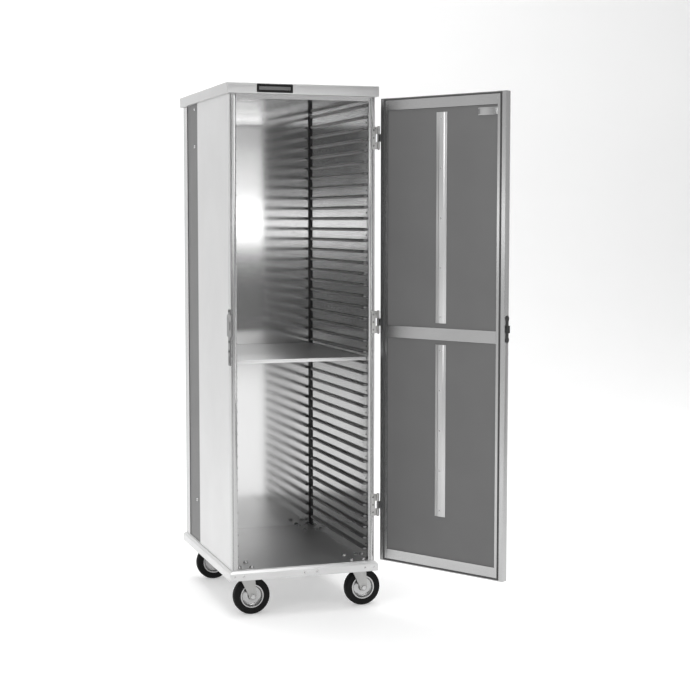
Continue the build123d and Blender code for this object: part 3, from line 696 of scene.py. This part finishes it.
def door_strips():
    """Stiffeners with a raised middle and rolled edges down the door's inner face."""
    low, high = span("door_stiffeners", DOOR)
    raised, flat = high.y, high.y - 1.3
    step_foot, step_top = 9, 12
    profile = [(low.x, low.y), (high.x, low.y), (high.x, flat), (high.x - step_foot, flat),
               (high.x - step_top, raised), (low.x + step_top, raised),
               (low.x + step_foot, flat), (low.x, flat)]
    outline = rounded(profile, [0.3, 0.3, 0.6, 1.2, 1.2, 1.2, 1.2, 0.6], 3)
    bm = bmesh.new()
    for bottom, top in STRIP_ENDS:
        add_prism(bm, outline, bottom, top, "Z", edge=0.5)
    finish_piece("door_strips", bm, strip_metal, "door", space=DOOR,
                 replaces=("door_stiffeners",))


def door_screws():
    """Screws in the door leaves and rivets up the strips."""
    leaf_screw_y = -363
    strip_middle, count, margin = -1, 5, 20
    bm = bmesh.new()
    for z in HINGE_HEIGHTS:
        for dz in (-SCREW_STEP, 0, SCREW_STEP):
            add_screw(bm, (LEAF_SIDE, leaf_screw_y, z + dz), "X", 1, LEAF_SCREW_RADIUS)
    face = span("door_stiffeners", DOOR)[1].y
    for bottom, top in STRIP_ENDS:
        for k in range(count):
            z = bottom + margin + k * (top - bottom - 2 * margin) / (count - 1)
            add_rivet(bm, (strip_middle, face - 0.1, z), "Y", 1, 3.4)
    finish_piece("door_screws", bm, screw_steel, "door", space=DOOR,
                 replaces=("door_fasteners",))


def card_holder():
    """Channel for a card: a back plate between two folded lips."""
    low, high = span("card_holder", DOOR)
    lip, wall = 4.0, 1
    under_lip, plate_face = high.y - 0.8, low.y + 0.9
    outline = [(low.y, low.z), (high.y, low.z), (high.y, low.z + lip), (under_lip, low.z + lip),
               (under_lip, low.z + wall), (plate_face, low.z + wall),
               (plate_face, high.z - wall), (under_lip, high.z - wall),
               (under_lip, high.z - lip), (high.y, high.z - lip), (high.y, high.z),
               (low.y, high.z)]
    bm = bmesh.new()
    add_prism(bm, outline, low.x, high.x, "X", edge=0.2)
    finish_piece("card_channel", bm, extrusion, "door", space=DOOR,
                 replaces=("card_holder",))


def door_gasket():
    """Soft seal with a round bead, mitred at the corners."""
    low, high = span("door_gasket", DOOR)
    width, base = 6.0, low.y
    rise = high.y - low.y
    profile = [(0.0, 0.0), (0.0, rise * 0.35), (0.9, rise * 0.8), (2.2, rise), (3.8, rise),
               (5.1, rise * 0.8), (width, rise * 0.35), (width, 0.0)]
    bm = bmesh.new()
    corners = ((low.x, low.z, 1, 1), (high.x, low.z, -1, 1), (high.x, high.z, -1, -1),
               (low.x, high.z, 1, -1))
    rings = []
    for x, z, in_x, in_z in corners:
        rings.append([bm.verts.new((x + in_x * w, base + h, z + in_z * w)) for w, h in profile])
    for k in range(4):
        here, there = rings[k], rings[(k + 1) % 4]
        for i in range(len(profile)):
            j = (i + 1) % len(profile)
            bm.faces.new((here[i], here[j], there[j], there[i]))
    finish_piece("door_seal", bm, seal_rubber, "door", space=DOOR,
                 replaces=("door_gasket",))


def latch():
    softened("latch_keeper", keeper_steel, 0.5)
    softened("latch_case", dark_metal, 0.6)
    softened("latch_lever", dark_metal, 0.6)
    softened("latch_bolt", dark_metal, 0.5)


# ---------------------------------------------------------------- casters
def caster(corner, pin):
    """Fork with raceway and axle boss, headed axle, cast wheel and moulded tyre."""
    trail, wheel_z, race_z, boss_y = 30, 63.5, 134.2, 23.4
    axle_x = pin.x + trail
    centre = (axle_x, pin.y, wheel_z)
    softened(f"{corner}_fork", zinc, 0.9)
    bm = bmesh.new()
    collar = [(14, 0), (25.4, 0), (26, 0.8), (25.6, 2.2), (23, 4.2), (14, 5.0)]
    add_turned(bm, ring_outline(collar), (pin.x, pin.y, race_z), "Z", 40)
    boss = [(5.4, 0), (10.5, 0), (10.5, 1.0), (9.5, 1.8), (5.4, 1.8)]
    for side in SIDES:
        place = (axle_x, pin.y + side * boss_y, wheel_z)
        add_turned(bm, ring_outline(boss), place, "Y", 32, side)
    finish_piece(f"{corner}_raceway", bm, zinc, f"{corner}_swivel")

    bm = bmesh.new()
    low, high = span(f"{corner}_axle")
    half = (high.y - low.y) / 2
    bolt = [(0, -half), (4.2, -half), (5, -half + 1), (5, half - 1), (4.2, half), (0, half)]
    add_turned(bm, bolt, centre, "Y", 24)
    nut = [(0, 23.6), (8.8, 23.6), (9.0, 24.2), (8.9, 28.2), (7.8, 29.3), (0, 29.4)]
    for side in SIDES:
        add_turned(bm, nut, centre, "Y", 6, side)
    finish_piece(f"{corner}_axle_bolt", bm, screw_steel, f"{corner}_swivel",
                 replaces=(f"{corner}_axle",), bevel=0.3, smooth=30)

    bm = bmesh.new()
    rim = [(5.2, -19.5), (11.2, -19.5), (12, -18.7), (12.6, -10), (14.5, -6.2), (20, -4.6),
           (31, -4.2), (34, -6), (35.6, -10), (36.2, -15), (37.4, -15.6), (40.4, -15.2),
           (41, -14.4)]
    cast = rim + [(r, -w) for r, w in reversed(rim)]
    add_turned(bm, ring_outline(cast), centre, "Y", 64)
    finish_piece(f"{corner}_cast_wheel", bm, wheel_metal, f"{corner}_roller",
                 replaces=(f"{corner}_wheel",), smooth=40)

    bm = bmesh.new()
    side_wall = [(41, -14), (42, -15.2), (44, -15.8), (50, -15.9), (52, -15.3), (54, -15.9),
                 (57.5, -15.9), (60, -14.9), (62, -12.8), (63.2, -9.6), (63.5, -5)]
    moulded = side_wall + [(r, -w) for r, w in reversed(side_wall)]
    add_turned(bm, ring_outline(moulded), centre, "Y", 96)
    finish_piece(f"{corner}_moulded_tyre", bm, tyre_rubber, f"{corner}_roller",
                 replaces=(f"{corner}_tyre",), smooth=40)


base_and_floor()
caster_bolts()
top_cap()
body_shell()
corner_painted_shade_strips()
pan_ribs()
middle_shelf()
nameplate()
hinges()
body_screws()
door_frame()
door_strips()
door_screws()
card_holder()
door_gasket()
latch()
softened("caster_mounts", zinc, 0.8)
for corner, pin in caster_places():
    caster(corner, pin)


# ---------------------------------------------------------------- studio
def stage_floor():
    """Pale floor that curves up into a backdrop far behind."""
    floor_material = surface("studio_floor", 0.82, 0.75, metallic=0.0, grain=(14, 14, 14),
                             shade=0.02, grain_bump=0.05)
    bm = bmesh.new()
    half, front, bend, radius, top = 12.0, -9.0, 4.0, 2.5, 9.0
    steps = 12
    profile = [(front, 0.0), (bend, 0.0)]
    for k in range(1, steps + 1):
        angle = math.pi / 2 * k / steps
        profile.append((bend + radius * math.sin(angle), radius * (1 - math.cos(angle))))
    profile.append((bend + radius, top))
    rows = [[bm.verts.new((x, y, z)) for x in (-half, half)] for y, z in profile]
    for lower, upper in zip(rows, rows[1:]):
        bm.faces.new((lower[0], lower[1], upper[1], upper[0]))
    mesh = bpy.data.meshes.new("studio_floor")
    bm.to_mesh(mesh)
    bm.free()
    mesh.shade_smooth()
    mesh.materials.append(floor_material)
    glow = floor_material.node_tree.nodes["Principled BSDF"]
    glow.inputs["Emission Color"].default_value = (1, 1, 1, 1)
    glow.inputs["Emission Strength"].default_value = 0.3
    floor = bpy.data.objects.new("studio_floor", mesh)
    bpy.context.collection.objects.link(floor)


def from_middle(x, y, z):
    """A point given in metres from the middle of the cabinet's footprint."""
    return middle_x + x, middle_y + y, z


def soft_light(name, place, target, size, power):
    """A rectangular area light that looks at a point."""
    light = bpy.data.lights.new(name, "AREA")
    light.shape = "RECTANGLE"
    light.size, light.size_y = size
    light.energy = power
    lamp = bpy.data.objects.new(name, light)
    bpy.context.collection.objects.link(lamp)
    lamp.location = place
    direction = Vector(target) - Vector(place)
    lamp.rotation_euler = direction.to_track_quat("-Z", "Y").to_euler()


def studio_world():
    """Soft white beyond the cabinet, fading to a dim room on the camera's side."""
    world = bpy.data.worlds.new("studio")
    bpy.context.scene.world = world
    world.use_nodes = True
    tree = world.node_tree
    direction = tree.nodes.new("ShaderNodeTexCoord")
    parts = tree.nodes.new("ShaderNodeSeparateXYZ")
    ramp = tree.nodes.new("ShaderNodeMapRange")
    ramp.interpolation_type = "SMOOTHSTEP"
    for name, value in (("From Min", -0.75), ("From Max", 0.35),
                        ("To Min", 0.12), ("To Max", 0.85)):
        ramp.inputs[name].default_value = value
    tree.links.new(direction.outputs["Generated"], parts.inputs["Vector"])
    tree.links.new(parts.outputs["Y"], ramp.inputs["Value"])
    tree.links.new(ramp.outputs["Result"], tree.nodes["Background"].inputs["Strength"])
    tree.nodes["Background"].inputs["Color"].default_value = (1, 1, 1, 1)


def studio():
    stage_floor()
    studio_world()
    aim = from_middle(0, 0, 0.9)
    soft_light("key", from_middle(-3.6, -3.2, 3.2), aim, (2.4, 2.4), 70)
    soft_light("front_panel", from_middle(2.4, -8.2, 1.62), aim, (5.0, 0.9), 14)
    soft_light("upper_panel", from_middle(2.4, -8.2, 2.5), aim, (5.0, 0.4), 9)
    soft_light("eye_strip", from_middle(0.6, -8.1, 1.30), aim, (8.0, 0.28), 20)
    soft_light("left_strip", from_middle(-8.0, 0.8, 1.36), aim, (3.0, 0.40), 9)
    soft_light("front_floor", from_middle(0.8, -6.3, 4.5), from_middle(0.8, -6.29, 0.0),
               (4.0, 3.0), 130)
    soft_light("overhead", from_middle(0, -0.8, 5.0), aim, (4.0, 4.0), 100)
    soft_light("backdrop", from_middle(0, 2.6, 6.5), from_middle(0, 6.0, 1.5), (6.0, 2.0), 160)


def camera():
    """The viewpoint: a little left of the front, at chest height, looking slightly down."""
    yaw, pitch = 18.5, 4.49
    data = bpy.data.cameras.new("camera")
    data.sensor_width = 36.0
    data.lens = 78.7
    data.shift_x = 0.0072
    data.shift_y = -0.0072
    data.dof.use_dof = False
    eye = bpy.data.objects.new("camera", data)
    bpy.context.collection.objects.link(eye)
    eye.location = from_middle(-1.491, -5.183, 1.336)
    eye.rotation_euler = (math.radians(90 - pitch), 0, math.radians(-yaw))
    bpy.context.scene.camera = eye


studio()
camera()
bpy.context.scene.view_settings.view_transform = "Standard"
